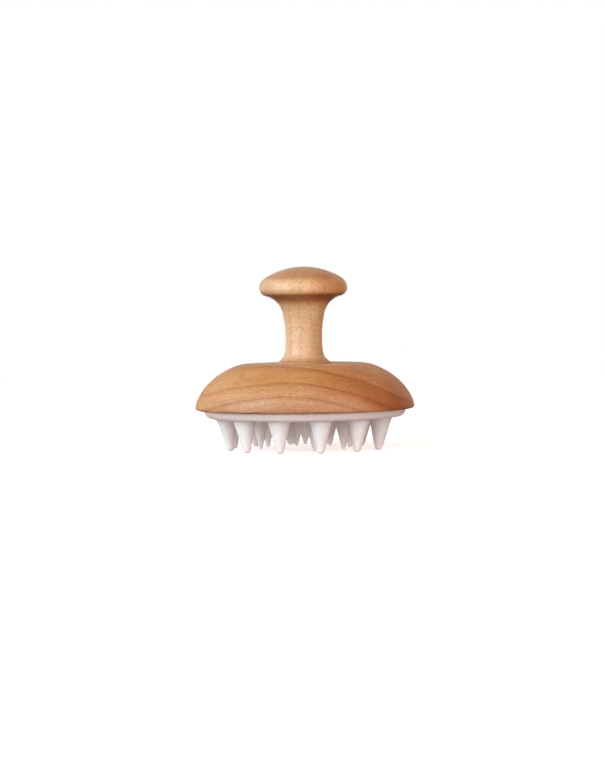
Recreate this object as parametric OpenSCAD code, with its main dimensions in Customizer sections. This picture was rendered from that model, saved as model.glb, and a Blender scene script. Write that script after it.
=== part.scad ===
// Scalp massager brush: a turned wooden knob on a turned wooden dome, with a silicone pad of
// conical teeth beneath. The origin is on the axis, at the tips of the outer teeth, with +Z up.

/* [Base] */
// Diameter of the dome at its widest
base_d = 82; // [78:0.5:90]
// Radius of the rounded bottom edge of the dome
base_edge_r = 0.8; // [0.4:0.1:1.2]
// Depth of the recess that holds the pad
recess_depth = 5.8; // [5:0.1:6.5]

/* [Handle] */
// Diameter of the knob
knob_d = 33; // [32:0.5:38]
// Radius of the crown, the shallow top of the knob
crown_r = 26.6; // [22:0.2:32]
// Radius between the crown and the widest line of the knob
shoulder_r = 4.9; // [4:0.1:6]
// Radius of the rounded rim under the widest line of the knob
rim_r = 2.7; // [2:0.1:3]
// Slope of the knob's underside from level, in degrees
underside_a = 20; // [15:1:25]
// Radius of the hollow where the underside turns into the neck
throat_r = 7.9; // [6:0.1:8]
// Diameter of the neck where it is straight
neck_d = 13.8; // [12:0.1:14.5]
// Length of the straight stretch of the neck
neck_straight = 2.4; // [1:0.1:8]
// Diameter of the foot, where the handle meets the dome
foot_d = 20.8; // [19:0.2:22]

/* [Pad] */
// Diameter of the silicone flange under the dome
flange_d = 75.5; // [73:0.5:77]
// Thickness of the flange
flange_t = 3.1; // [2.6:0.1:3.6]
// Diameter of the plug that fills the recess
plug_d = 69; // [68:0.5:70]

/* [Teeth] */
// Height of the outer teeth under the pad
tooth_h = 12.1; // [10:0.1:15]
// Diameter of an outer tooth at the pad
outer_root_d = 8.1; // [7:0.1:8.6]
// Radius of the rounded tip of an outer tooth
outer_tip_r = 1.45; // [1:0.05:2]
// Radius of the outer ring of teeth
outer_ring_r = 29.5; // [29:0.1:30]
// Inward lean of the outer teeth, in degrees
outer_lean = 5; // [0:0.5:8]
// Diameter of an inner tooth at the pad
inner_root_d = 6.8; // [6:0.1:7.4]
// Radius of the rounded tip of an inner tooth
inner_tip_r = 0.7; // [0.5:0.05:1.2]
// Radius of the middle ring of teeth
middle_ring_r = 17; // [16.5:0.1:17.4]
// How much shorter the middle teeth are than the outer ones
middle_short = 0.3; // [0:0.1:1]
// How much shorter the centre tooth is than the outer ones
centre_short = 1.9; // [0:0.1:3]

/* [Hidden] */
$fn = 96;
// Number of teeth in each ring
outer_count = 12;
middle_count = 8;
// Direction of the first tooth of each ring, and the largest turn of one step along an arc
first_a = -90;
arc_step = 4;
// Air left between pieces that fit into each other, and extra depth of a cut past a face
fit_gap = 0.05;
over = 1;

// Levels
plate_z = tooth_h;
base_z = plate_z + flange_t;
ceiling_z = base_z + recess_depth;

// The dome's outline from its flat top outwards: radius and end slope of each tangent arc
dome_arcs = [[13.6, 21.3], [30.7, 38.6], [20.6, 68.9], [5.5, 90]];
dome_run = run(dome_arcs, 0);
dome_flat_r = base_d / 2 - dome_run[0];
dome_top_z = base_z + base_edge_r + dome_run[1];

// The neck: long flare up to the throat, and a short one down to the foot
neck_r = neck_d / 2;
waist_r = 37.4;
waist_a = 14;
flare_r = 24;
flare_a = 8;
foot_arc_r = 5.1;
foot_edge = 0.3;
foot_end_a = asin((foot_d / 2 - neck_r - flare_r * (1 - cos(flare_a))) / foot_arc_r - cos(flare_a));
neck_z = dome_top_z + foot_edge + flare_r * sin(flare_a) + foot_arc_r * (cos(foot_end_a) - sin(flare_a));

// The knob: where the underside starts, how long it is, and where the crown starts
throat_end_r = neck_r + waist_r * (1 - cos(waist_a)) + throat_r * (cos(waist_a) - sin(underside_a));
underside_len = (knob_d / 2 - rim_r * (1 - sin(underside_a)) - throat_end_r) / cos(underside_a);
crown_a = asin((knob_d / 2 - shoulder_r) / (crown_r - shoulder_r));

// The tenon of the handle and its socket in the dome
tenon_r = 4.5;
tenon_len = 5.7;
socket_depth = 6;

// The handle's screw, from below: pan head, washer, then a thread up into the neck
screw_head_r = 4;
screw_head_h = 2.4;
screw_head_edge_r = 1.6;
screw_shank_r = 2;
screw_core_r = 1.5;
screw_len = 29;
thread_pitch = 1.6;
washer_r = 5;
washer_t = 1;
counterbore_r = 5.5;
counterbore_depth = 2.6;
screw_seat_z = ceiling_z + counterbore_depth - washer_t;

// The carrier: a plastic plate in the recess, with a ring that grips the pad
carrier_r = 33;
carrier_t = 1.9;
carrier_hole_r = 6;
rib_r = [22, 25];
rib_h = 2.5;
carrier_z = ceiling_z - carrier_t;

// The carrier's three countersunk screws
csk_count = 3;
csk_ring_r = 14;
csk_head_r = 2.8;
csk_shank_r = 1.5;
csk_core_r = 1.1;
csk_len = 8;
csk_pitch = 1.2;

// Where the crest of a thread begins and ends within its pitch
crest = [0.4, 0.6];

// Cross recess of a screw head: length, width and depth of its slots
cross = [3.2, 0.8, 1.2];
small_cross = [2.6, 0.7, 0.9];

// The pad's rounded lower edge: its radius, and how steep the rim above it is, in degrees
pad_edge_r = 2.7;
pad_edge_a = 78;
plug_top_z = carrier_z - 2 * fit_gap;

// How much is cut off each outer tooth's tip, so that the object stands on small flats
tip_cut = 0.06;

function outer_name(i) = str("outer_tooth_", i < 10 ? "0" : "", i);
function middle_name(i) = str("middle_tooth_", i);

// How far a run of tangent arcs, each a radius and an end slope, goes sideways and down
function run(arcs, a, i = 0) = i == len(arcs) ? [0, 0] :
    arcs[i][0] * [sin(arcs[i][1]) - sin(a), cos(a) - cos(arcs[i][1])] + run(arcs, arcs[i][1], i + 1);

// Points of one leg of an outline from p: a straight [length], or an arc [radius, end heading]
function leg(p, h, part) = len(part) == 1
    ? [p + part[0] * [cos(h), sin(h)]]
    : let (
        turn = part[1] - h,
        steps = max(2, ceil(abs(turn) / arc_step)),
        centre = p + sign(turn) * part[0] * [-sin(h), cos(h)]
    )
    [for (i = [1:steps]) let (a = h + turn * i / steps)
        centre + sign(turn) * part[0] * [sin(a), -cos(a)]];

// Points of an outline that starts at p with heading h and follows the legs, each tangent to the last
function outline(p, h, legs, i = 0) = i == len(legs) ? [] :
    let (q = leg(p, h, legs[i]), next = len(legs[i]) == 1 ? h : legs[i][1])
    concat(q, outline(q[len(q) - 1], next, legs, i + 1));

function reversed(points) = [for (i = [len(points) - 1:-1:0]) points[i]];

// A solid of revolution from an outline of radii and heights
module turned(points) rotate_extrude() polygon(points);

// The same thing repeated around the axis
module around(count, r, first = 0)
    for (i = [0:count - 1]) rotate([0, 0, first + 360 * i / count]) translate([r, 0, 0]) children();

// Two crossed slots cut up into a screw head whose face is at z = 0
module cross_recess(size)
    for (a = [0, 90]) rotate([0, 0, a]) translate([0, 0, size[2] / 2 - over / 2])
        cube([size[0], size[1], size[2] + over], center = true);

// Outline of a screw's thread as a row of ridges from z0 up to a point at z1
function ridges(core_r, crest_r, pitch, z0, z1) = let (count = floor((z1 - z0 - pitch) / pitch))
    concat(
        [for (i = [0:count - 1]) each [
            [core_r, z0 + pitch * i],
            [crest_r, z0 + pitch * (i + crest[0])],
            [crest_r, z0 + pitch * (i + crest[1])]
        ]],
        [[core_r, z0 + pitch * count], [0, z1]]
    );

module handle() {
    down = outline([neck_r, neck_z], -90, [[flare_r, flare_a - 90], [foot_arc_r, foot_end_a]]);
    up = outline([neck_r, neck_z], 90, [
        [neck_straight],
        [waist_r, 90 - waist_a],
        [throat_r, underside_a],
        [underside_len],
        [rim_r, 90],
        [shoulder_r, 180 - crown_a],
        [crown_r, 180]
    ]);
    rim = [for (p = up) [max(p[0], 0), p[1]]];
    pilot_top_z = screw_seat_z + screw_len + over;
    color([0.86, 0.69, 0.5]) difference() {
        turned(concat(
            [[0, dome_top_z - tenon_len], [tenon_r, dome_top_z - tenon_len], [tenon_r, dome_top_z]],
            [[foot_d / 2, dome_top_z]],
            reversed(down),
            [[neck_r, neck_z]],
            [for (i = [0:len(rim) - 2]) rim[i]],
            [[0, rim[len(rim) - 1][1]]]
        ));
        translate([0, 0, dome_top_z - tenon_len - over])
            cylinder(r = screw_core_r, h = pilot_top_z - dome_top_z + tenon_len + over);
    }
}

module base_dome() {
    edge = outline([base_d / 2 - base_edge_r, base_z], 0, [[base_edge_r, 90]]);
    side = outline([dome_flat_r, dome_top_z], 0, [for (a = dome_arcs) [a[0], -a[1]]]);
    color([0.78, 0.53, 0.31]) difference() {
        turned(concat(
            [[0, base_z], [base_d / 2 - base_edge_r, base_z]],
            edge,
            reversed([for (i = [0:len(side) - 2]) side[i]]),
            [[dome_flat_r, dome_top_z], [0, dome_top_z]]
        ));
        translate([0, 0, base_z - over]) cylinder(r = plug_d / 2 + 2 * fit_gap, h = recess_depth + over);
        translate([0, 0, ceiling_z - over]) cylinder(r = counterbore_r, h = counterbore_depth + over);
        translate([0, 0, ceiling_z]) cylinder(r = screw_shank_r + 4 * fit_gap, h = dome_top_z);
        translate([0, 0, dome_top_z - socket_depth]) cylinder(r = tenon_r + fit_gap, h = socket_depth + over);
        around(csk_count, csk_ring_r)
            translate([0, 0, ceiling_z - over]) cylinder(r = csk_core_r, h = csk_len + over);
    }
}

module handle_screw() {
    head_side = screw_head_h - screw_head_edge_r;
    head = outline([screw_head_r, screw_seat_z], -90, [[head_side], [screw_head_edge_r, -180]]);
    color([0.75, 0.76, 0.78]) difference() {
        turned(concat(
            reversed(concat([[screw_head_r, screw_seat_z]], head, [[0, screw_seat_z - screw_head_h]])),
            [[screw_shank_r, screw_seat_z]],
            [[screw_shank_r, dome_top_z - tenon_len]],
            ridges(screw_core_r, screw_shank_r, thread_pitch, dome_top_z - tenon_len, screw_seat_z + screw_len)
        ));
        translate([0, 0, screw_seat_z - screw_head_h]) cross_recess(cross);
    }
}

module handle_washer() {
    color([0.7, 0.71, 0.73]) translate([0, 0, screw_seat_z]) difference() {
        cylinder(r = washer_r, h = washer_t);
        translate([0, 0, -over]) cylinder(r = screw_shank_r + 3 * fit_gap, h = washer_t + 2 * over);
    }
}

module pad_carrier() {
    hole_r = csk_shank_r + 2 * fit_gap;
    csk_depth = csk_head_r - csk_shank_r;
    color([0.82, 0.82, 0.84]) difference() {
        union() {
            translate([0, 0, carrier_z]) cylinder(r = carrier_r, h = carrier_t);
            translate([0, 0, carrier_z - rib_h]) cylinder(r = rib_r[1], h = rib_h + carrier_t / 2);
        }
        translate([0, 0, carrier_z - rib_h - over]) cylinder(r = rib_r[0], h = rib_h + over);
        translate([0, 0, carrier_z - over]) cylinder(r = carrier_hole_r, h = carrier_t + 2 * over);
        around(csk_count, csk_ring_r) {
            translate([0, 0, carrier_z - over]) cylinder(r = hole_r, h = carrier_t + 2 * over);
            translate([0, 0, carrier_z - fit_gap])
                cylinder(r1 = hole_r + csk_depth + fit_gap, r2 = hole_r, h = csk_depth + fit_gap);
        }
    }
}

module carrier_screws() {
    head_z = carrier_z + fit_gap;
    neck_top = head_z + csk_head_r - csk_shank_r;
    color([0.75, 0.76, 0.78]) around(csk_count, csk_ring_r) difference() {
        turned(concat(
            [[0, head_z], [csk_head_r, head_z], [csk_shank_r, neck_top], [csk_shank_r, ceiling_z]],
            ridges(csk_core_r, csk_shank_r, csk_pitch, ceiling_z, carrier_z + csk_len + over)
        ));
        translate([0, 0, head_z]) cross_recess(small_cross);
    }
}

module pad() {
    rise = flange_t - pad_edge_r * (1 - cos(pad_edge_a));
    bottom_r = flange_d / 2 - rise / tan(pad_edge_a) - pad_edge_r * sin(pad_edge_a);
    edge = outline([bottom_r, plate_z], 0, [[pad_edge_r, pad_edge_a], [rise / sin(pad_edge_a)]]);
    color([0.93, 0.92, 0.93]) difference() {
        turned(concat(
            [[0, plate_z], [bottom_r, plate_z]],
            edge,
            [[plug_d / 2, base_z], [plug_d / 2, plug_top_z], [0, plug_top_z]]
        ));
        // Groove for the carrier's ring
        translate([0, 0, carrier_z - rib_h - 2 * fit_gap]) difference() {
            cylinder(r = rib_r[1] + 2 * fit_gap, h = rib_h + over);
            translate([0, 0, -over]) cylinder(r = rib_r[0] - 2 * fit_gap, h = rib_h + 3 * over);
        }
        // Cups that the round roots of the teeth turn in
        translate([0, 0, plate_z]) {
            around(outer_count, outer_ring_r, first_a) sphere(r = outer_root_d / 2 + fit_gap);
            around(middle_count, middle_ring_r, first_a) sphere(r = inner_root_d / 2 + fit_gap);
            sphere(r = inner_root_d / 2 + fit_gap);
        }
    }
}

// A tooth that hangs from the centre of its round root, with its tip's centre at depth d
module tooth(root_r, tip_r, d) {
    taper = asin((root_r - tip_r) / d);
    color([0.93, 0.92, 0.93]) turned(concat(
        [[0, root_r]],
        outline([0, root_r], 0, [[root_r, -90 - taper], [d * cos(taper)], [tip_r, -180]])
    ));
}

module outer_tooth(i) {
    d = (tooth_h + tip_cut - outer_tip_r) / cos(outer_lean);
    difference() {
        rotate([0, 0, first_a + 360 * (i - 1) / outer_count]) translate([outer_ring_r, 0, plate_z])
            rotate([0, outer_lean, 0]) tooth(outer_root_d / 2, outer_tip_r, d);
        translate([0, 0, -base_d / 2]) cube(base_d, center = true);
    }
}

module middle_tooth(i)
    rotate([0, 0, first_a + 360 * (i - 1) / middle_count]) translate([middle_ring_r, 0, plate_z])
        tooth(inner_root_d / 2, inner_tip_r, tooth_h - middle_short - inner_tip_r);

module centre_tooth()
    translate([0, 0, plate_z]) tooth(inner_root_d / 2, inner_tip_r, tooth_h - centre_short - inner_tip_r);

handle();
base_dome();
handle_screw();
handle_washer();
pad_carrier();
carrier_screws();
pad();
for (i = [1:outer_count]) outer_tooth(i);
for (i = [1:middle_count]) middle_tooth(i);
centre_tooth();
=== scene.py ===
"""Looks of the scalp massager brush: turned wood, moulded silicone and its hidden fasteners."""

import math

import bmesh
import bpy
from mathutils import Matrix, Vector


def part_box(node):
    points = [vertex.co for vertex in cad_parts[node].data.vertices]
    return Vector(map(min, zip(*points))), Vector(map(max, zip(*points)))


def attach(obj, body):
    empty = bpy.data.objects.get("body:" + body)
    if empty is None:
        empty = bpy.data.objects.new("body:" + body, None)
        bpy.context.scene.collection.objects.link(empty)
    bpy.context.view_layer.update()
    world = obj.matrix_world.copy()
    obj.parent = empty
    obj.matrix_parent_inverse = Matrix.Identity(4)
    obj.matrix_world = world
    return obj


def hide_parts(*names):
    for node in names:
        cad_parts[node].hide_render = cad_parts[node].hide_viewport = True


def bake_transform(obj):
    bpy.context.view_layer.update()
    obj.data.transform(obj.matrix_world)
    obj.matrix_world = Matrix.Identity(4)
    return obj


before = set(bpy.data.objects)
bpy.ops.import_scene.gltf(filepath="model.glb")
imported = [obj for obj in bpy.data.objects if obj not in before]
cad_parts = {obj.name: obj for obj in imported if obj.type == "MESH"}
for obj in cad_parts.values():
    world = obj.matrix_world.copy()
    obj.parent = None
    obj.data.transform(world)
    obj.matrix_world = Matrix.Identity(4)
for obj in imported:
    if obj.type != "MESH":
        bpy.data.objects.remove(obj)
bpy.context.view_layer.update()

MM = 0.001
ARC_STEP = 2.0  # degrees of turn from one point of an outline to the next
SHARP_ANGLE = 32.0  # degrees between two faces that make their shared edge a sharp one
HANDLE_SEGMENTS, DISC_SEGMENTS, TOOTH_SEGMENTS, FLOOR_SEGMENTS = 144, 192, 40, 96
FILLET_STEPS, CONE_STEPS, TIP_STEPS = 8, 8, 8

# ---------------------------------------------------------------------------------------------
# Sizes, in millimetres. Levels and widths come from the frame, and radii repeat the CAD design.

BASE_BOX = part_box("base_dome")
HANDLE_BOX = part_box("handle")
PAD_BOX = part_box("pad")
CARRIER_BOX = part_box("pad_carrier")

BASE_R = BASE_BOX[1].x / MM
BASE_Z = BASE_BOX[0].z / MM
DOME_TOP_Z = BASE_BOX[1].z / MM
BASE_EDGE_R = 0.8
DOME_ARCS = [(13.6, 21.3), (30.7, 38.6), (20.6, 68.9), (5.5, 90.0)]
CEILING_Z = CARRIER_BOX[1].z / MM
RECESS_R = 34.6
COUNTERBORE_R, COUNTERBORE_DEPTH = 5.5, 2.6
SCREW_HOLE_R = 2.2
SOCKET_R, SOCKET_DEPTH = 4.55, 6.0

KNOB_R = HANDLE_BOX[1].x / MM
KNOB_TOP_Z = HANDLE_BOX[1].z / MM
TENON_Z = HANDLE_BOX[0].z / MM
CROWN_R, SHOULDER_R, RIM_R = 26.6, 4.9, 2.7
UNDERSIDE_A = 20.0
THROAT_R, WAIST_R, WAIST_A = 7.9, 37.4, 14.0
NECK_R = 6.9
FLARE_R, FLARE_A, FOOT_ARC_R, FOOT_EDGE, FOOT_R = 24.0, 8.0, 5.1, 0.3, 10.4
TENON_R, PILOT_R, PILOT_TOP_Z = 4.5, 1.5, 52.6

PLATE_Z = PAD_BOX[0].z / MM
PLUG_TOP_Z = PAD_BOX[1].z / MM
FLANGE_R = PAD_BOX[1].x / MM
PLUG_R = 34.5
PAD_EDGE_R, PAD_EDGE_A = 2.7, 78.0
PAD_RINGS = 8
LIP_R = 0.7
GROOVE_R = (21.9, 25.1)
GROOVE_Z = 16.5

OUTER_COUNT, OUTER_RING_R, OUTER_LEAN, OUTER_ROOT_R, OUTER_TIP_R = 12, 29.5, 5.0, 4.05, 1.45
OUTER_TIP_Z = -0.06  # where the outer tips would end if they weren't cut flat at the floor
MIDDLE_COUNT, MIDDLE_RING_R = 8, 17.0
INNER_ROOT_R, INNER_TIP_R = 3.4, 0.7
FIRST_TOOTH_A = -90
FILLET_R = 0.5
ROOT_OVERLAP = 0.4  # how far inside the pad a tooth's mesh starts

# ---------------------------------------------------------------------------------------------
# Camera, light and floor

EYE_DISTANCE, EYE_Z, AIM_Z = 0.9, 0.0585, 0.0218
CAMERA_AZIMUTH, CAMERA_ROLL, CAMERA_LENS, AIM_SIDE = -11.2, 0.8, 110.8, -0.0008
CAMERA_SENSOR = 36

LIT_POINT = Vector((0, 0, 0.03))
PANEL_SIZE, PANEL_DISTANCE, PANEL_ELEVATION = (1.6, 1.4), 1.5, 17
STRIP_SIZE = (1.0, 0.3)
BOUNCE_SIZE, BOUNCE_DEPTH = (0.14, 0.14), 0.09
LOW_SIZE, LOW_DISTANCE = (0.3, 0.3), 0.5

# The large panels round the object: name, azimuth, watts and colour.
PANELS = [
    ("left", -64, 33.5, (0.88, 1.0, 1.05)),
    ("front", 8, 22, (1.05, 0.985, 0.96)),
    ("back_left", -135, 11, (1.05, 1.0, 0.85)),
    ("back_right", 158, 5, (1.15, 0.95, 0.8)),
    ("right", 112, 2.3, (1.15, 0.85, 0.5)),
]

SEEN_STRENGTH, SEEN_COLOUR = 1.0, (1, 1, 1, 1)
LIT_STRENGTH, LIT_COLOUR = 0.17, (1, 0.7, 0.6, 1)
FLOOR_R = 0.8


def direction(azimuth, elevation):
    """Unit vector from the object towards an azimuth and elevation, where azimuth 0 is -Y."""
    a, e = math.radians(azimuth), math.radians(elevation)
    return Vector((math.sin(a) * math.cos(e), -math.cos(a) * math.cos(e), math.sin(e)))


def make_camera():
    """The camera, level with the knob's rim and looking a little down."""
    side = direction(CAMERA_AZIMUTH + 90, 0) * AIM_SIDE
    eye = direction(CAMERA_AZIMUTH, 0) * EYE_DISTANCE + side + Vector((0, 0, EYE_Z))
    aim = side + Vector((0, 0, AIM_Z))
    data = bpy.data.cameras.new("camera")
    data.lens = CAMERA_LENS
    data.sensor_width = CAMERA_SENSOR
    camera = bpy.data.objects.new("camera", data)
    bpy.context.scene.collection.objects.link(camera)
    camera.location = eye
    camera.rotation_euler = (aim - eye).to_track_quat("-Z", "Y").to_euler()
    camera.rotation_euler.rotate_axis("Z", -math.radians(CAMERA_ROLL))
    bpy.context.scene.camera = camera


def softbox(name, azimuth, elevation, watts, colour, size=PANEL_SIZE, distance=PANEL_DISTANCE):
    """A panel of light that faces the object."""
    data = bpy.data.lights.new(name, "AREA")
    data.shape = "RECTANGLE"
    data.size, data.size_y = size
    data.energy = watts
    data.color = colour
    light = bpy.data.objects.new(name, data)
    bpy.context.scene.collection.objects.link(light)
    light.location = LIT_POINT + direction(azimuth, elevation) * distance
    light.rotation_euler = (LIT_POINT - light.location).to_track_quat("-Z", "Y").to_euler()
    light.visible_camera = False


def make_lights():
    """Panels all round, a low one behind, and the light that the surface sends back up.

    That light is warm under the teeth, and paler in front of them.
    """
    for name, azimuth, watts, colour in PANELS:
        softbox(name, azimuth, PANEL_ELEVATION, watts, colour)
    softbox("back_strip", 169, -6, 4, (1.08, 0.98, 0.88), STRIP_SIZE)
    softbox("bounce", 0, -90, 0.022, (1.0, 0.64, 0.52), BOUNCE_SIZE, BOUNCE_DEPTH)
    softbox("low_front", 38, -30, 0.45, (1.0, 0.95, 0.92), LOW_SIZE, LOW_DISTANCE)


def make_world():
    """A white surround for the eye, which lights the object far less than it shows."""
    world = bpy.data.worlds.new("surround")
    bpy.context.scene.world = world
    world.use_nodes = True
    tree = world.node_tree
    tree.nodes.clear()
    seen = tree.nodes.new("ShaderNodeBackground")
    seen.inputs["Strength"].default_value = SEEN_STRENGTH
    seen.inputs["Color"].default_value = SEEN_COLOUR
    lit = tree.nodes.new("ShaderNodeBackground")
    lit.inputs["Strength"].default_value = LIT_STRENGTH
    lit.inputs["Color"].default_value = LIT_COLOUR
    path = tree.nodes.new("ShaderNodeLightPath")
    mix = tree.nodes.new("ShaderNodeMixShader")
    out = tree.nodes.new("ShaderNodeOutputWorld")
    tree.links.new(path.outputs["Is Camera Ray"], mix.inputs[0])
    tree.links.new(lit.outputs[0], mix.inputs[1])
    tree.links.new(seen.outputs[0], mix.inputs[2])
    tree.links.new(mix.outputs[0], out.inputs["Surface"])


def make_floor():
    """A wide pale disc at the level of the teeth's tips."""
    disc = bmesh.new()
    bmesh.ops.create_circle(disc, cap_ends=True, segments=FLOOR_SEGMENTS, radius=FLOOR_R)
    mesh = bpy.data.meshes.new("floor")
    disc.to_mesh(mesh)
    disc.free()
    floor = bpy.data.objects.new("floor", mesh)
    bpy.context.scene.collection.objects.link(floor)
    graph = Graph("floor_paint")
    graph.surface({"Base Color": (0.8, 0.8, 0.8, 1), "Roughness": 0.9, "Specular IOR Level": 0.0,
                   "Emission Color": (1, 1, 1, 1), "Emission Strength": 0.6})
    mesh.materials.append(graph.material)
    floor.visible_diffuse = False
    floor.visible_glossy = False
    floor.visible_shadow = False


# ---------------------------------------------------------------------------------------------
# Materials


def screen(r, g, b):
    """A colour given in screen values from 0 to 255, as linear values."""
    def linear(v):
        v /= 255
        return v / 12.92 if v <= 0.04045 else ((v + 0.055) / 1.055) ** 2.4
    return (linear(r), linear(g), linear(b))


class Graph:
    """One material's nodes, with a short call for each kind that the finishes use.

    A plain colour in a ramp or a mix is three values.
    """

    def __init__(self, name):
        self.material = bpy.data.materials.new(name)
        self.material.use_nodes = True
        self.tree = self.material.node_tree
        self.tree.nodes.clear()
        self.place = self.node("ShaderNodeTexCoord").outputs["Object"]

    def node(self, kind, inputs=(), **settings):
        """A node with its settings, its plain input values and its links."""
        made = self.tree.nodes.new(kind)
        for key, value in settings.items():
            setattr(made, key, value)
        for key, value in dict(inputs).items():
            if isinstance(value, bpy.types.NodeSocket):
                self.tree.links.new(value, made.inputs[key])
            else:
                made.inputs[key].default_value = value
        return made

    def math(self, operation, a, b=0.0):
        return self.node("ShaderNodeMath", {0: a, 1: b}, operation=operation).outputs[0]

    def vector(self, operation, a, b=(0, 0, 0)):
        made = self.node("ShaderNodeVectorMath", {0: a, 1: b}, operation=operation)
        return made.outputs["Value" if operation == "LENGTH" else "Vector"]

    def part(self, vector, axis):
        return self.node("ShaderNodeSeparateXYZ", {0: vector}).outputs[axis]

    def noise(self, where, scale=1.0, detail=2.0, roughness=0.5):
        made = self.node("ShaderNodeTexNoise", {
            "Vector": where, "Scale": scale, "Detail": detail, "Roughness": roughness})
        return made.outputs["Fac"]

    def streaks(self, scale, detail, roughness=0.5, tilt=(0, 0, 0)):
        """Noise in the object's own coordinates, turned and then scaled along each axis."""
        turned_place = self.node("ShaderNodeMapping", {"Vector": self.place, "Rotation": tilt})
        return self.noise(self.vector("MULTIPLY", turned_place.outputs[0], scale), 1.0, detail, roughness)

    def ramp(self, factor, *stops, easing="LINEAR"):
        """Colours or greys along a factor, each stop a place and a value."""
        made = self.node("ShaderNodeValToRGB", {"Fac": factor})
        band = made.color_ramp
        band.interpolation = easing
        for i, (place, value) in enumerate(stops):
            stop = band.elements[i] if i < 2 else band.elements.new(place)
            stop.position = place
            stop.color = (*value, 1) if isinstance(value, tuple) else (value, value, value, 1)
        return made.outputs["Color"]

    def ratio(self, length, start, span):
        """Where a length lies between a start, 0, and start + span, 1."""
        return self.math("DIVIDE", self.math("SUBTRACT", length, start), span)

    def fade_in(self, length, start, span):
        """0 up to a start and 1 from start + span on, where a span below 0 runs backwards."""
        return self.ramp(self.ratio(length, start, span), (0, 0), (1, 1), easing="EASE")

    def between(self, factor, low, high):
        """A factor that is mostly between 0.3 and 0.7, spread between two values."""
        made = self.node("ShaderNodeMapRange", {
            "Value": factor, "From Min": 0.3, "From Max": 0.7, "To Min": low, "To Max": high})
        return made.outputs["Result"]

    def centred(self, factor, width):
        """A noise factor as a length that varies around zero."""
        return self.math("MULTIPLY", self.math("SUBTRACT", factor, 0.5), width)

    def rising(self, factor, width, start):
        """A noise factor as a value from a start upwards."""
        return self.math("ADD", self.math("MULTIPLY", factor, width), start)

    def mix(self, factor, a, b, blend="MIX"):
        a, b = [(*colour, 1) if isinstance(colour, tuple) else colour for colour in (a, b)]
        made = self.node("ShaderNodeMix", {0: factor, 6: a, 7: b}, data_type="RGBA", blend_type=blend)
        return made.outputs[2]

    def multiply(self, colour, tint):
        return self.mix(1, colour, tint, "MULTIPLY")

    # Used both for the wood's own marks and for painted shade.
    def tint_where(self, colour, factor, tint):
        """A colour that is multiplied by a tint where the factor is 1, and unchanged where it is 0."""
        return self.mix(factor, colour, self.multiply(colour, tint))

    def shade(self, colour, factor, low, high):
        """A colour multiplied by a tint that runs from low to high along a noise factor."""
        return self.multiply(colour, self.mix(self.between(factor, 0, 1), low, high))

    def bump(self, height, depth, strength):
        inputs = {"Height": height, "Distance": depth, "Strength": strength}
        return self.node("ShaderNodeBump", inputs).outputs["Normal"]

    def surface(self, inputs):
        shader = self.node("ShaderNodeBsdfPrincipled", inputs)
        self.node("ShaderNodeOutputMaterial", {"Surface": shader.outputs[0]})
        return self.material


# The handle has a thin satin coat, and the base a slightly more matt one.
HANDLE_COAT = {"Coat Weight": 0.4, "Coat Roughness": 0.32, "IOR": 1.45}
BASE_COAT = {"Coat Weight": 0.25, "Coat Roughness": 0.38, "IOR": 1.43}
WOOD_RELIEF, WOOD_BUMP = 0.03 * MM, 0.5

# The base's growth rings are cylinders about the tree's heart, which lies under the dome.
HEART_POINT = (-5.9 * MM, 0, -39.5 * MM)
HEART_AXIS = (-0.204, -0.971, -0.126)
HEART_TILT = (0.13, 0, -0.21)
RING_START, RING_STEP = 65.05 * MM, 4.28 * MM
RING_WANDER = 1.2 * MM
RING_TINT = (0.77, 0.63, 0.45)

# The base's colours outwards from the heart, in its paler wood and in its darker heartwood.
ZONE_START, ZONE_SPAN = 58 * MM, 20 * MM
SAPWOOD = [
    (0.08, (0.317, 0.132, 0.051)), (0.2, (0.340, 0.153, 0.062)), (0.28, (0.397, 0.206, 0.098)),
    (0.38, (0.384, 0.187, 0.084)), (0.42, (0.414, 0.208, 0.089)), (0.53, (0.407, 0.197, 0.078)),
    (0.57, (0.400, 0.184, 0.069)), (0.62, (0.434, 0.203, 0.071)), (0.75, (0.452, 0.210, 0.073)),
    (0.81, (0.492, 0.243, 0.092)), (0.95, (0.432, 0.186, 0.063)),
]
HEARTWOOD = [
    (0.1, (0.322, 0.129, 0.048)), (0.38, (0.392, 0.157, 0.063)), (0.46, (0.377, 0.140, 0.046)),
    (0.53, (0.327, 0.098, 0.023)), (0.62, (0.342, 0.103, 0.024)), (0.76, (0.347, 0.106, 0.025)),
    (0.80, (0.417, 0.161, 0.051)), (0.88, (0.412, 0.154, 0.041)), (0.97, (0.467, 0.215, 0.078)),
]

# What changes across the dome, from its left to its right: where a change starts, and its width.
ACROSS_WANDER = 9 * MM
HEARTWOOD_FADE = (-15 * MM, 39 * MM)
RIGHT_FADE, RIGHT_TINT = (18 * MM, 14 * MM), (0.82, 0.64, 0.45)
LEFT_FADE, LEFT_TINT = (-29 * MM, -9 * MM), (0.96, 0.84, 0.68)
MIDDLE_X, MIDDLE_HALF_WIDTH, MIDDLE_TINT = -3 * MM, 11 * MM, (0.93, 0.87, 0.82)

# The handle's rings are upright cylinders, since its fibres run up the neck.
HANDLE_HEART = (-36 * MM, 9 * MM, 0)
HANDLE_RING_STEP, HANDLE_RING_WANDER, HANDLE_RING_TINT = 3.7 * MM, 3 * MM, (0.94, 0.89, 0.84)
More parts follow.
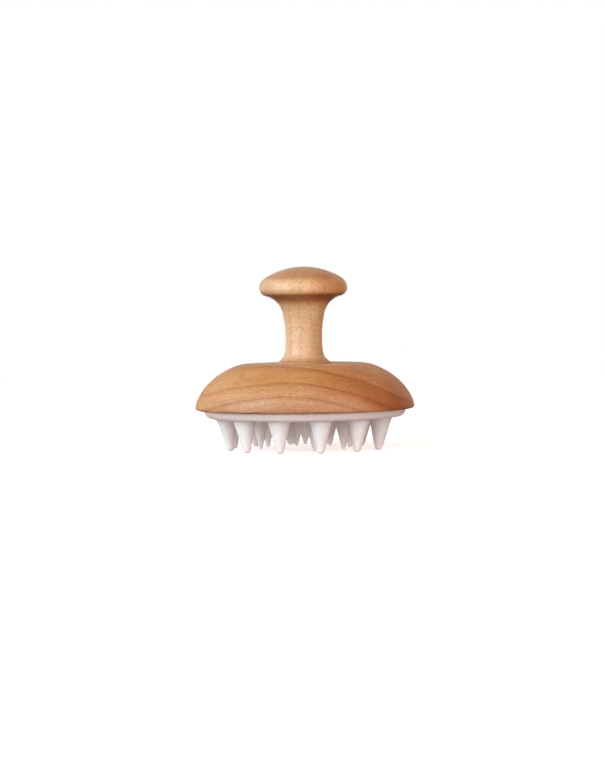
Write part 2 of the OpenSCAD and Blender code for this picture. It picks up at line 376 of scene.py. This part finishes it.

# The handle's colours outwards from that heart, and what darkens them: end grain, which is also painted
# shade where it faces down, painted shade under the knob and round the foot, and flecks.
HANDLE_ZONE_START, HANDLE_ZONE_SPAN = 20 * MM, 34 * MM
# Outwards from the heart runs towards the handle's right side, so the last, darker stops darken that
# side.
HANDLE_ZONES = [
    (0.08, (0.425, 0.230, 0.114)), (0.3, (0.500, 0.292, 0.163)), (0.55, (0.495, 0.298, 0.153)),
    (0.69, (0.520, 0.290, 0.142)), (0.78, (0.480, 0.220, 0.085)), (1.0, (0.455, 0.200, 0.073)),
]
END_GRAIN_AND_SHADE_TINT, DOWNWARD_SHADE_TINT, FLECK_TINT = (0.84, 0.70, 0.60), (0.68, 0.47, 0.25), (0.82, 0.74, 0.66)
FOOT_HEIGHT, FOOT_SHADE_TINT, FOOT_RIGHT_SHADE_TINT = 5 * MM, (0.87, 0.84, 0.81), (0.66, 0.58, 0.48)


def base_tone(g, zone):
    """The base's colour from side to side: sapwood, then heartwood, darker towards its right and left
    edges and in a low patch in its middle.
    """
    sapwood = g.ramp(zone, *SAPWOOD)
    heartwood = g.ramp(zone, *HEARTWOOD)
    wander = g.centred(g.noise(g.place, 45.0, 2.0), ACROSS_WANDER)
    across = g.math("ADD", g.part(g.place, "X"), wander)
    colour = g.mix(g.fade_in(across, *HEARTWOOD_FADE), sapwood, heartwood)
    colour = g.tint_where(colour, g.fade_in(across, *RIGHT_FADE), RIGHT_TINT)
    colour = g.tint_where(colour, g.fade_in(across, *LEFT_FADE), LEFT_TINT)
    off_middle = g.math("ABSOLUTE", g.math("SUBTRACT", across, MIDDLE_X))
    middle = g.ramp(g.math("DIVIDE", off_middle, MIDDLE_HALF_WIDTH), (0, 1), (1, 0), easing="EASE")
    low_band = g.ramp(zone, (0.1, 0), (0.2, 1), (0.45, 1), (0.52, 0))
    return g.tint_where(colour, g.math("MULTIPLY", middle, low_band), MIDDLE_TINT)


def base_wood():
    """Warm wood: growth rings arch over the dome, and darker heartwood fills one side of it."""
    g = Graph("ringed_wood")
    from_heart = g.vector("SUBTRACT", g.place, HEART_POINT)
    radius = g.vector("LENGTH", g.vector("CROSS_PRODUCT", from_heart, HEART_AXIS))
    radius = g.math("ADD", radius, g.centred(g.noise(g.place, 60.0, 2.0), RING_WANDER))
    colour = base_tone(g, g.ratio(radius, ZONE_START, ZONE_SPAN))
    phase = g.math("FRACT", g.ratio(radius, RING_START, RING_STEP))
    line = g.ramp(phase, (0.0, 1), (0.03, 0.6), (0.08, 0), (0.7, 0.05), (0.87, 0.25), (0.94, 0.7),
                  (0.975, 1))
    line = g.math("MULTIPLY", line, g.between(g.noise(g.place, 90.0, 2.0), 0.7, 1.2))
    colour = g.tint_where(colour, line, RING_TINT)
    fibre = g.streaks((1500, 160, 2600), 3.0, 0.6, HEART_TILT)
    colour = g.shade(colour, fibre, (0.86, 0.77, 0.62), (1.14, 1.23, 1.38))
    grain = g.streaks((700, 90, 1400), 2.0, 0.5, HEART_TILT)
    colour = g.shade(colour, grain, (0.93, 0.88, 0.80), (1.07, 1.12, 1.20))
    hue = g.streaks((190, 60, 330), 2.0, 0.5, HEART_TILT)
    colour = g.shade(colour, hue, (1.02, 0.97, 1.10), (0.98, 1.03, 0.90))
    broad = g.streaks((60, 60, 620), 3.0, 0.6, HEART_TILT)
    colour = g.shade(colour, broad, (0.94, 0.90, 0.84), (1.06, 1.10, 1.16))
    cloud = g.streaks((110, 40, 110), 3.0, 0.55, HEART_TILT)
    colour = g.shade(colour, cloud, (0.95, 0.92, 0.88), (1.05, 1.08, 1.12))
    height = g.math("SUBTRACT", fibre, g.math("MULTIPLY", line, 0.4))
    return g.surface({
        "Base Color": colour, "Roughness": g.between(fibre, 0.48, 0.62), **BASE_COAT,
        "Normal": g.bump(height, WOOD_RELIEF, WOOD_BUMP)})


def handle_tone(g):
    """The handle's colour: faint upright rings, darker end grain that is also painted shade where it
    faces down, and painted shade under the knob and round the foot.
    """
    from_heart = g.vector("SUBTRACT", g.vector("MULTIPLY", g.place, (1, 1, 0)), HANDLE_HEART)
    wander = g.centred(g.noise(g.place, 60.0, 2.0), HANDLE_RING_WANDER)
    radius = g.math("ADD", g.vector("LENGTH", from_heart), wander)
    outward = g.ratio(radius, HANDLE_ZONE_START, HANDLE_ZONE_SPAN)
    colour = g.ramp(outward, *HANDLE_ZONES)
    phase = g.math("FRACT", g.math("DIVIDE", radius, HANDLE_RING_STEP))
    line = g.ramp(phase, (0.0, 0.6), (0.05, 0.1), (0.5, 0), (0.9, 0.5), (0.97, 1))
    colour = g.tint_where(colour, line, HANDLE_RING_TINT)
    cloud = g.streaks((150, 150, 60), 3.0, 0.6)
    colour = g.shade(colour, cloud, (0.95, 0.92, 0.90), (1.05, 1.08, 1.10))
    upward = g.part(g.node("ShaderNodeTexCoord").outputs["Normal"], "Z")
    # Darker end grain on faces that look up or down; on those that look down it is also painted shade.
    end_grain_and_shade = g.ramp(g.math("ABSOLUTE", upward), (0.55, 0), (0.97, 1), easing="EASE")
    colour = g.tint_where(colour, end_grain_and_shade, END_GRAIN_AND_SHADE_TINT)
    # Painted shade: faces that look down, such as the throat under the knob, are darkened here.
    painted_shade_below = g.ramp(g.math("MULTIPLY", upward, -1), (0.5, 0), (0.92, 1), easing="EASE")
    colour = g.tint_where(colour, painted_shade_below, DOWNWARD_SHADE_TINT)
    # Painted shade round the foot, where it meets the dome, deepest on the handle's right side.
    above_seam = g.ratio(g.part(g.place, "Z"), DOME_TOP_Z * MM, FOOT_HEIGHT)
    foot_shade_tint = g.mix(g.ramp(outward, (0.69, 0), (0.80, 1)), FOOT_SHADE_TINT, FOOT_RIGHT_SHADE_TINT)
    return g.tint_where(colour, g.ramp(above_seam, (0, 1), (1, 0), easing="EASE"), foot_shade_tint)


def handle_wood():
    """Lighter wood with upright fibres and small flecks."""
    g = Graph("flecked_wood")
    colour = handle_tone(g)
    hue = g.streaks((260, 260, 130), 2.0)
    colour = g.shade(colour, hue, (1.01, 0.98, 1.06), (0.99, 1.02, 0.94))
    fibre = g.streaks((2300, 2300, 800), 3.0, 0.6)
    colour = g.shade(colour, fibre, (0.85, 0.77, 0.66), (1.15, 1.23, 1.34))
    fleck = g.ramp(g.streaks((2000, 2000, 1100), 1.0), (0.33, 1), (0.42, 0))
    colour = g.tint_where(colour, fleck, FLECK_TINT)
    return g.surface({
        "Base Color": colour, "Roughness": g.between(fibre, 0.40, 0.54), **HANDLE_COAT,
        "Normal": g.bump(fibre, WOOD_RELIEF, WOOD_BUMP)})


def silicone():
    """White moulded silicone: matt, a little cloudy, and slightly see-through where it is thin, with
    painted shade and warm bounce light on the flange under the wood.
    """
    g = Graph("moulded_silicone")
    cloud = g.noise(g.place, 140.0, 3.0)
    grain = g.noise(g.place, 5200.0, 2.0)
    colour = g.ramp(cloud, (0.3, screen(221, 217, 216)), (0.7, screen(228, 225, 224)))
    # Painted shade and warm bounce light: the flange, under the wood, is darker and warmer than the
    # teeth.
    flange_shade = g.ramp(g.math("DIVIDE", g.part(g.place, "Z"), PLUG_TOP_Z * MM), (0.62, 0), (0.72, 1))
    thin_tint, flange_shade_tint = (0.92, 0.905, 0.92), (0.935, 0.83, 0.81)
    colour = g.multiply(colour, g.mix(flange_shade, thin_tint, flange_shade_tint))
    return g.surface({
        "Base Color": colour, "Roughness": g.rising(grain, 0.12, 0.44),
        "Subsurface Weight": 1.0, "Subsurface Radius": (1.0, 0.9, 0.85), "Subsurface Scale": 2.5 * MM,
        "IOR": 1.41, "Normal": g.bump(grain, 0.01 * MM, 0.6)})


def steel():
    """Zinc-plated steel with fine turned scratches."""
    g = Graph("plated_steel")
    scratch = g.streaks((900, 900, 9000), 2.0)
    return g.surface({
        "Base Color": g.ramp(scratch, (0.3, screen(176, 178, 184)), (0.7, screen(204, 206, 210))),
        "Metallic": 1.0, "Roughness": g.rising(scratch, 0.2, 0.22),
        "Normal": g.bump(scratch, 0.01 * MM, 0.5)})


def carrier_plastic():
    """Pale moulded plastic with a fine spark-eroded texture."""
    g = Graph("moulded_plastic")
    grain = g.noise(g.place, 3800.0, 3.0, 0.6)
    return g.surface({
        "Base Color": g.ramp(grain, (0.3, screen(214, 214, 218)), (0.7, screen(226, 226, 229))),
        "Roughness": g.rising(grain, 0.2, 0.4),
        "Normal": g.bump(grain, 0.03 * MM, 0.6)})


# ---------------------------------------------------------------------------------------------
# Shapes


def outline(start, heading, legs):
    """Points of a line of tangent legs, each a straight (length,) or an arc (radius, end heading)."""
    points, at = [], Vector(start)
    for leg in legs:
        h = math.radians(heading)
        if len(leg) == 1:
            at = at + leg[0] * Vector((math.cos(h), math.sin(h)))
            points.append(at)
            continue
        radius, end = leg
        turn = end - heading
        side = math.copysign(radius, turn)
        centre = at + side * Vector((-math.sin(h), math.cos(h)))
        steps = max(2, math.ceil(abs(turn) / ARC_STEP))
        for i in range(1, steps + 1):
            a = math.radians(heading + turn * i / steps)
            points.append(centre + side * Vector((math.sin(a), -math.cos(a))))
        at, heading = points[-1], end
    return points


def arcs_width(arcs, slope):
    """How far a run of tangent arcs, each a radius and an end slope, goes sideways."""
    out = 0.0
    for radius, end in arcs:
        out += radius * (math.sin(math.radians(end)) - math.sin(math.radians(slope)))
        slope = end
    return out


def new_object(name, vertices, faces, material):
    """An object from vertices in millimetres, smooth apart from its sharp edges."""
    mesh = bpy.data.meshes.new(name)
    mesh.from_pydata([tuple(c * MM for c in v) for v in vertices], [], faces)
    mesh.materials.append(material)
    mesh.polygons.foreach_set("use_smooth", [True] * len(mesh.polygons))
    mesh.set_sharp_from_angle(angle=math.radians(SHARP_ANGLE))
    made = bpy.data.objects.new(name, mesh)
    bpy.context.scene.collection.objects.link(made)
    return made


def turned(name, points, segments, material):
    """A solid of revolution from a closed outline of (radius, height), which may touch the axis."""
    vertices, rings = [], []
    for r, z in points:
        if r < 1e-6:
            rings.append([len(vertices)] * segments)
            vertices.append((0, 0, z))
            continue
        rings.append(list(range(len(vertices), len(vertices) + segments)))
        for k in range(segments):
            a = 2 * math.pi * k / segments
            vertices.append((r * math.cos(a), r * math.sin(a), z))
    faces = []
    for a, b in zip(rings, rings[1:] + rings[:1]):
        for k in range(segments):
            n = (k + 1) % segments
            face = list(dict.fromkeys((a[k], a[n], b[n], b[k])))
            if len(face) > 2:
                faces.append(face)
    return new_object(name, vertices, faces, material)


def make_handle(material):
    """Knob, neck, foot and tenon, turned from one piece."""
    underside = math.radians(UNDERSIDE_A)
    waist = math.radians(WAIST_A)
    flare = math.radians(FLARE_A)
    throat_end = NECK_R + WAIST_R * (1 - math.cos(waist))
    throat_end += THROAT_R * (math.cos(waist) - math.sin(underside))
    under_len = (KNOB_R - RIM_R * (1 - math.sin(underside)) - throat_end) / math.cos(underside)
    crown = math.degrees(math.asin((KNOB_R - SHOULDER_R) / (CROWN_R - SHOULDER_R)))
    foot_out = FOOT_R - NECK_R - FLARE_R * (1 - math.cos(flare))
    foot_end = math.asin(foot_out / FOOT_ARC_R - math.cos(flare))
    neck_z = DOME_TOP_Z + FOOT_EDGE + FLARE_R * math.sin(flare)
    neck_z += FOOT_ARC_R * (math.cos(foot_end) - math.sin(flare))
    above = outline((NECK_R, 0), 90, [
        (WAIST_R, 90 - WAIST_A), (THROAT_R, UNDERSIDE_A), (under_len,), (RIM_R, 90),
        (SHOULDER_R, 180 - crown), (CROWN_R, 180)])
    straight = KNOB_TOP_Z - above[-1].y - neck_z
    up = [p + Vector((0, neck_z + straight)) for p in above]
    up[-1].x = 0
    down = outline((NECK_R, neck_z), -90, [
        (FLARE_R, FLARE_A - 90), (FOOT_ARC_R, math.degrees(foot_end))])
    points = [(0, PILOT_TOP_Z), (PILOT_R, PILOT_TOP_Z), (PILOT_R, TENON_Z), (TENON_R, TENON_Z),
              (TENON_R, DOME_TOP_Z), (FOOT_R, DOME_TOP_Z), *down[::-1], (NECK_R, neck_z),
              (NECK_R, neck_z + straight), *up]
    return turned("handle_turning", points, HANDLE_SEGMENTS, material)


def make_base(material):
    """The dome, with its recess, the counterbore for the screw and the socket for the tenon."""
    flat_r = BASE_R - arcs_width(DOME_ARCS, 0)
    side = outline((flat_r, DOME_TOP_Z), 0, [(radius, -end) for radius, end in DOME_ARCS])
    edge = outline((BASE_R - BASE_EDGE_R, BASE_Z), 0, [(BASE_EDGE_R, 90)])
    socket_z = DOME_TOP_Z - SOCKET_DEPTH
    bore_z = CEILING_Z + COUNTERBORE_DEPTH
    points = [(RECESS_R, BASE_Z), (BASE_R - BASE_EDGE_R, BASE_Z), *edge, *side[-2::-1],
              (flat_r, DOME_TOP_Z), (SOCKET_R, DOME_TOP_Z), (SOCKET_R, socket_z),
              (SCREW_HOLE_R, socket_z), (SCREW_HOLE_R, bore_z), (COUNTERBORE_R, bore_z),
              (COUNTERBORE_R, CEILING_Z), (RECESS_R, CEILING_Z)]
    return turned("dome_turning", points, DISC_SEGMENTS, material)


def make_pad(material):
    """The silicone disc: rounded flange, plug, and the groove in its back."""
    slope = math.radians(PAD_EDGE_A)
    rise = BASE_Z - LIP_R - PLATE_Z - PAD_EDGE_R * (1 - math.cos(slope))
    bottom_r = FLANGE_R - rise / math.tan(slope) - PAD_EDGE_R * math.sin(slope)
    edge = outline((bottom_r, PLATE_Z), 0, [
        (PAD_EDGE_R, PAD_EDGE_A), (rise / math.sin(slope),), (LIP_R, 180)])
    plate = [(bottom_r * k / PAD_RINGS, PLATE_Z) for k in range(PAD_RINGS + 1)]
    points = [*plate, *edge, (PLUG_R, BASE_Z), (PLUG_R, PLUG_TOP_Z), (GROOVE_R[1], PLUG_TOP_Z),
              (GROOVE_R[1], GROOVE_Z), (GROOVE_R[0], GROOVE_Z), (GROOVE_R[0], PLUG_TOP_Z),
              (0, PLUG_TOP_Z)]
    return turned("silicone_pad", points, DISC_SEGMENTS, material)


def tooth_outline(depth, root_r, tip_r):
    """A tooth's fillet, cone and round tip as (radius, distance down from the pad)."""
    taper = math.asin((root_r - tip_r) / depth)
    wide = root_r / math.cos(taper)
    shape = [(wide + FILLET_R, -ROOT_OVERLAP)]
    for k in range(FILLET_STEPS + 1):
        a = math.radians(90 * k / FILLET_STEPS)
        shape.append((wide + FILLET_R * (1 - math.sin(a)), FILLET_R * (1 - math.cos(a))))
    cone_end = depth + tip_r * math.sin(taper)
    for k in range(1, CONE_STEPS + 1):
        h = FILLET_R + (cone_end - FILLET_R) * k / CONE_STEPS
        shape.append((wide - h * math.tan(taper), h))
    for k in range(1, TIP_STEPS):
        a = taper + (math.pi / 2 - taper) * k / TIP_STEPS
        shape.append((tip_r * math.cos(a), depth + tip_r * math.sin(a)))
    return shape


def make_tooth(name, ring_r, angle, lean, root_r, tip_r, tip_z, material):
    """A conical tooth whose level rings shift towards the axis on the way down, cut flat at the floor."""
    depth = PLATE_Z - tip_z - tip_r
    turn = math.radians(angle)
    slant = math.tan(math.radians(lean))

    def point(r, a, h):
        x = ring_r - max(h, 0) * slant + r * math.cos(a)
        y = r * math.sin(a)
        level = max(PLATE_Z - h, 0.0)
        return (x * math.cos(turn) - y * math.sin(turn), x * math.sin(turn) + y * math.cos(turn), level)

    shape = tooth_outline(depth, root_r, tip_r)
    count = TOOTH_SEGMENTS
    vertices = [point(r, 2 * math.pi * k / count, h) for r, h in shape for k in range(count)]
    vertices.append(point(0, 0, depth + tip_r))
    faces = []
    for low in range(0, (len(shape) - 1) * count, count):
        for k in range(count):
            n = (k + 1) % count
            faces.append((low + k, low + count + k, low + count + n, low + n))
    faces.append(tuple(range(count)))
    last = (len(shape) - 1) * count
    for k in range(count):
        faces.append((last + k, len(vertices) - 1, last + (k + 1) % count))
    return new_object(name, vertices, faces, material)


def add_tooth(node, ring_r, angle, lean, root_r, tip_r, material):
    """The visible tooth for a CAD node, made in its place while the node is hidden."""
    tip_z = OUTER_TIP_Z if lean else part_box(node)[0].z / MM
    tooth = make_tooth(node + "_moulding", ring_r, angle, lean, root_r, tip_r, tip_z, material)
    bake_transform(tooth)
    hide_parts(node)


# ---------------------------------------------------------------------------------------------
# The object

make_camera()
bpy.context.scene.view_settings.view_transform = "Standard"
make_lights()
make_world()
make_floor()

silicone_finish = silicone()
steel_finish = steel()

handle = make_handle(handle_wood())
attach(handle, "base")
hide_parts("handle")

base = make_base(base_wood())
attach(base, "base")
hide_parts("base_dome")

pad = make_pad(silicone_finish)
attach(pad, "pad")
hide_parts("pad")

for i in range(OUTER_COUNT):
    angle = FIRST_TOOTH_A + 360 / OUTER_COUNT * i
    add_tooth(f"outer_tooth_{i + 1:02d}", OUTER_RING_R, angle, OUTER_LEAN, OUTER_ROOT_R, OUTER_TIP_R,
              silicone_finish)
for i in range(MIDDLE_COUNT):
    angle = FIRST_TOOTH_A + 360 / MIDDLE_COUNT * i
    add_tooth(f"middle_tooth_{i + 1}", MIDDLE_RING_R, angle, 0, INNER_ROOT_R, INNER_TIP_R,
              silicone_finish)
add_tooth("centre_tooth", 0, FIRST_TOOTH_A, 0, INNER_ROOT_R, INNER_TIP_R, silicone_finish)

for node, finish in [("handle_screw", steel_finish), ("handle_washer", steel_finish),
                     ("carrier_screws", steel_finish), ("pad_carrier", carrier_plastic())]:
    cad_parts[node].data.materials.clear()
    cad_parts[node].data.materials.append(finish)
